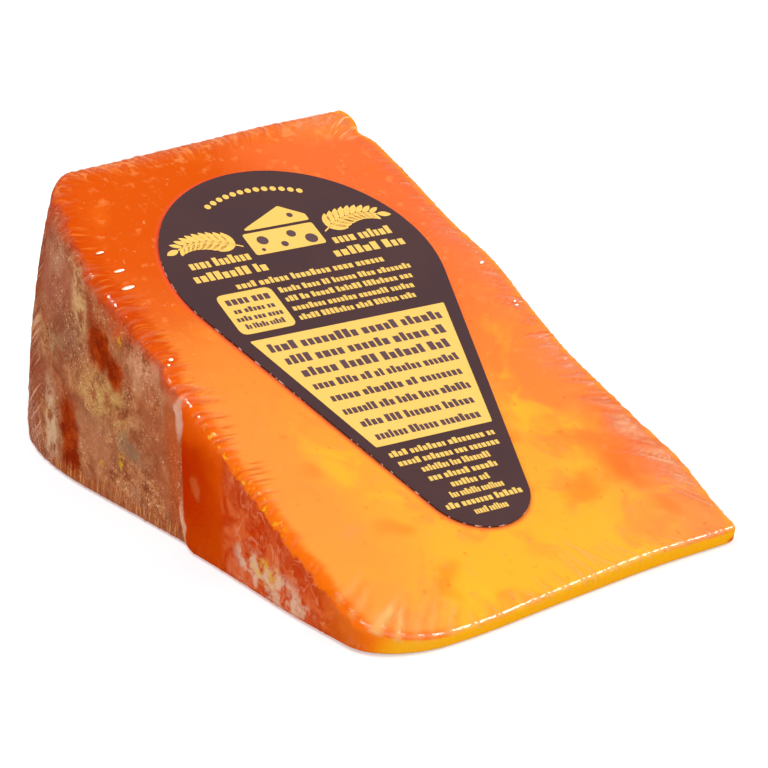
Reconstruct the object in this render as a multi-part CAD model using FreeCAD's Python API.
"""A wedge of red leicester cheese in skin-tight clear film, with a teardrop label on its sloping cut face.

The wedge is a slice of a drum-shaped wheel. The wheel's axis runs along X, through the line where the two
cut faces would meet, and the slice lies on one of those faces. Its thin nose, where the tip was cut off,
points towards -Y, and the wheel's curved rind is at +Y. The wheel's two flat faces are the slice's sides.
The origin is at the middle of the footprint's box, on the surface that the wedge lies on. Sizes are in
millimetres, and the wedge is built about the wheel's axis before it moves to the origin.
"""

import FreeCAD
import Part
import math
import os

Vector = FreeCAD.Vector

# The wheel and the slice
WHEEL_RADIUS = 125.9  # from the wheel's axis to its curved rind
WEDGE_ANGLE = math.radians(24.0)  # between the two cut faces
NOSE_CUT = 6.8  # from the wheel's axis to the cut-off tip
LEFT_HALF = 37.0  # from the wheel's middle to its left flat face
RIGHT_HALF = 36.1  # from the wheel's middle to its right flat face
EDGE_ROUND = 2.2  # rounding between the cut faces and the sides
MOST_ROUNDED = 0.45  # the rounding takes at most this share of the height, which matters at the thin nose

# Corners of the slice seen from above, each a quarter ellipse: its half lengths along X and along the radius
RIM_CORNER_LEFT = (12.7, 31.3)
RIM_CORNER_RIGHT = (3.2, 3.4)
NOSE_CORNER_LEFT = (10.5, 9.2)
NOSE_CORNER_RIGHT = (3.6, 3.6)

# Relief of the sides: (radius at its middle, half width, height outwards)
RIGHT_SIDE_SWELLS = (
    (118.0, 2.0, -1.4),
    (103.0, 9.0, 0.4),
    (79.0, 9.0, 1.4),
    (54.0, 9.0, -0.8),
    (25.0, 8.0, 1.1),
)
# Relief of the nose: (place along X, half width, height outwards)
NOSE_SWELLS = ((-21.0, 14.0, 1.0), (17.0, 14.0, -0.7))
# Relief of the curved rind: (place along X, half width, height outwards)
RIND_SWELLS = ((-6.0, 9.0, 0.1), (17.0, 10.0, 0.3))
# The left rim corner stands out by this much at the lower cut face, and is worn in as much at the upper one
RIM_WEAR = 0.5

# The left side swells towards the nose, and drops by a step where its rind ends
NOSE_SWELL = 1.5  # extra half width at the nose
NOSE_SWELL_RADII = (25.0, 60.0)  # the swelling is full below the first and gone above the second
RIND_STEP = 1.5  # height of the step
RIND_STEP_RADIUS = 62.0  # where it crosses the lower edge
RIND_STEP_LEAN = 13.0  # how much further out it crosses the upper edge
RIND_STEP_WIDTH = 3.0

# The teardrop label: a large and a small circle and their common tangents
LABEL_HEAD_RADIUS = 25.9
LABEL_TAIL_RADIUS = 9.7
LABEL_LENGTH = 92.1  # from end to end
LABEL_THICKNESS = 0.25
LABEL_HEAD_PLACE = (1.7, 88.8)  # centre of the large circle: along X, and up the slope from the axis
LABEL_TURN = math.radians(-4.5)  # the label's long axis against the slope

# How finely the side's surface is defined
RUN_STEP = 3.0  # most distance between control points on the long runs
CORNER_POINTS = 9  # control points on each corner
BODY_ROWS = 5  # rows of control points between the lower and the upper rounding
QUARTER_ARC_PULL = 0.448  # where a cubic's inner control points lie to draw a quarter circle of radius 1


def smooth_step(value, low, high):
    """0 below low, 1 above high, and a smooth cubic in between."""
    share = min(1.0, max(0.0, (value - low) / (high - low)))
    return share * share * (3.0 - 2.0 * share)


def swells(value, table):
    """Sum of the bell-shaped swells of a table, at one place."""
    return sum(height * math.exp(-(((value - middle) / width) ** 2)) for middle, width, height in table)


def outline():
    """The slice seen along the wheel's turning: points (x, radius, normal x, normal radius), anticlockwise.

    The loop starts at the middle of the curved rind. It has four straight runs and four elliptical corners.
    """
    corners = (
        (-LEFT_HALF, WHEEL_RADIUS, -1, 1, RIM_CORNER_LEFT),
        (-LEFT_HALF, NOSE_CUT, -1, -1, NOSE_CORNER_LEFT),
        (RIGHT_HALF, NOSE_CUT, 1, -1, NOSE_CORNER_RIGHT),
        (RIGHT_HALF, WHEEL_RADIUS, 1, 1, RIM_CORNER_RIGHT),
    )
    arcs = []
    for index, (x, radius, side_x, side_r, (half_x, half_r)) in enumerate(corners):
        centre = (x - side_x * half_x, radius - side_r * half_r)
        start = math.radians(90.0 + 90.0 * index)
        arc = []
        for k in range(CORNER_POINTS):
            angle = start + math.radians(90.0) * k / (CORNER_POINTS - 1)
            normal = Vector(math.cos(angle) / half_x, math.sin(angle) / half_r, 0).normalize()
            place = (centre[0] + half_x * math.cos(angle), centre[1] + half_r * math.sin(angle))
            arc.append((place[0], place[1], normal.x, normal.y))
        arcs.append(arc)
    loop = []
    middle_of_rind = ((arcs[0][0][0] + arcs[3][-1][0]) / 2, WHEEL_RADIUS, 0.0, 1.0)
    stops = [[middle_of_rind]] + arcs + [[middle_of_rind]]
    for before, after in zip(stops, stops[1:]):
        start, end = before[-1], after[0]
        steps = max(1, math.ceil(math.dist(start[:2], end[:2]) / RUN_STEP))
        for k in range(1, steps):
            share = k / steps
            place = [a + (b - a) * share for a, b in zip(start[:2], end[:2])]
            loop.append((place[0], place[1], start[2], start[3]))
        loop.extend(after)
    return loop


def relief(x, radius, normal_x, normal_r, turn):
    """How far the skin stands out from the plain slice. turn is 0 at the lower cut face, 1 at the upper."""
    left, right = max(0.0, -normal_x) ** 2, max(0.0, normal_x) ** 2
    nose, rind = max(0.0, -normal_r) ** 2, max(0.0, normal_r) ** 2
    step_radius = RIND_STEP_RADIUS + RIND_STEP_LEAN * turn
    step_ends = (step_radius - RIND_STEP_WIDTH, step_radius + RIND_STEP_WIDTH)
    out = left * NOSE_SWELL * (1.0 - smooth_step(radius, *NOSE_SWELL_RADII))
    out += left * RIND_STEP * (1.0 - smooth_step(radius, *step_ends))
    out += left * rind * RIM_WEAR * 4.0 * (1.0 - 2.0 * turn)
    out += right * swells(radius, RIGHT_SIDE_SWELLS)
    out += nose * swells(x, NOSE_SWELLS)
    out += rind * swells(x, RIND_SWELLS)
    return out


def rows_of(radius):
    """The rows of control points over one outline point: (inset, arc length up from the lower face)."""
    height = radius * WEDGE_ANGLE
    rounding = min(EDGE_ROUND, MOST_ROUNDED * height)
    pull = QUARTER_ARC_PULL * rounding
    lower = [(rounding, 0.0), (pull, 0.0), (0.0, pull), (0.0, rounding)]
    body = height - 2 * rounding
    middle = [(0.0, rounding + body * k / (BODY_ROWS + 1)) for k in range(1, BODY_ROWS + 1)]
    upper = [(inset, height - above) for inset, above in reversed(lower)]
    return lower + middle + upper


def skin_point(point, inset, above):
    """The place of one control point. The wheel's axis is X, and the lower cut face lies in Z = 0."""
    x, radius, normal_x, normal_r = point
    turn = above / radius
    out = relief(x, radius, normal_x, normal_r, turn / WEDGE_ANGLE) - inset
    x, radius = x + normal_x * out, radius + normal_r * out
    return Vector(x, radius * math.cos(turn), radius * math.sin(turn))


def clamped(count, degree):
    """Knots and multiplicities of a clamped, evenly spaced spline with that many control points."""
    spans = count - degree
    return list(range(spans + 1)), [degree + 1] + [1] * (spans - 1) + [degree + 1]


def cheese_wedge():
    """The wedge as one solid: a spline skin all round, closed by the two flat cut faces."""
    poles = [[skin_point(point, *row) for row in rows_of(point[1])] for point in outline()]
    degree = 3
    row_knots, row_mults = clamped(len(poles[0]), degree)
    skin = Part.BSplineSurface()
    skin.buildFromPolesMultsKnots(
        poles,
        [1] * (len(poles) + 1),
        row_mults,
        list(range(len(poles) + 1)),
        row_knots,
        True,
        False,
        degree,
        degree,
    )
    side = skin.toShape()
    rims = [edge for edge in side.Edges if edge.isClosed() and not edge.isSeam(side)]
    caps = [Part.Face(Part.Wire([rim])) for rim in rims]
    shell = Part.makeShell([side] + caps)
    shell.sewShape()
    solid = Part.makeSolid(shell)
    if solid.Volume < 0:
        solid.reverse()
    return solid


def label():
    """The teardrop label, lying on the upper cut face."""
    span = LABEL_LENGTH - LABEL_HEAD_RADIUS - LABEL_TAIL_RADIUS
    lean = math.asin((LABEL_HEAD_RADIUS - LABEL_TAIL_RADIUS) / span)
    head, tail = Vector(0, 0, 0), Vector(0, -span, 0)

    def on(centre, radius, angle):
        return centre + Vector(radius * math.cos(angle), radius * math.sin(angle), 0)

    right, left = -lean, math.pi + lean
    points = {
        "head_right": on(head, LABEL_HEAD_RADIUS, right),
        "head_top": on(head, LABEL_HEAD_RADIUS, math.pi / 2),
        "head_left": on(head, LABEL_HEAD_RADIUS, left),
        "tail_left": on(tail, LABEL_TAIL_RADIUS, left),
        "tail_end": on(tail, LABEL_TAIL_RADIUS, -math.pi / 2),
        "tail_right": on(tail, LABEL_TAIL_RADIUS, right),
    }
    edges = [
        Part.Arc(points["head_right"], points["head_top"], points["head_left"]).toShape(),
        Part.LineSegment(points["head_left"], points["tail_left"]).toShape(),
        Part.Arc(points["tail_left"], points["tail_end"], points["tail_right"]).toShape(),
        Part.LineSegment(points["tail_right"], points["head_right"]).toShape(),
    ]
    plate = Part.Face(Part.Wire(edges)).extrude(Vector(0, 0, LABEL_THICKNESS))
    plate.rotate(Vector(0, 0, 0), Vector(0, 0, 1), math.degrees(LABEL_TURN))
    plate.translate(Vector(LABEL_HEAD_PLACE[0], LABEL_HEAD_PLACE[1], 0))
    plate.rotate(Vector(0, 0, 0), Vector(1, 0, 0), math.degrees(WEDGE_ANGLE))
    return plate


def main():
    """Builds the pieces about the wheel's axis, moves them so that the footprint is centred, writes them."""
    pieces = {"cheese_wedge": cheese_wedge(), "label": label()}
    box = pieces["cheese_wedge"].optimalBoundingBox(False)
    to_origin = Vector(-(box.XMin + box.XMax) / 2, -(box.YMin + box.YMax) / 2, 0)
    os.makedirs("parts", exist_ok=True)
    for name, shape in pieces.items():
        shape.translate(to_origin)
        shape.exportStep(f"parts/{name}.step")
        size = shape.optimalBoundingBox(False)
        print(name, shape.ShapeType, shape.isValid(), f"{shape.Volume / 1000:.2f} cm3", size)


main()
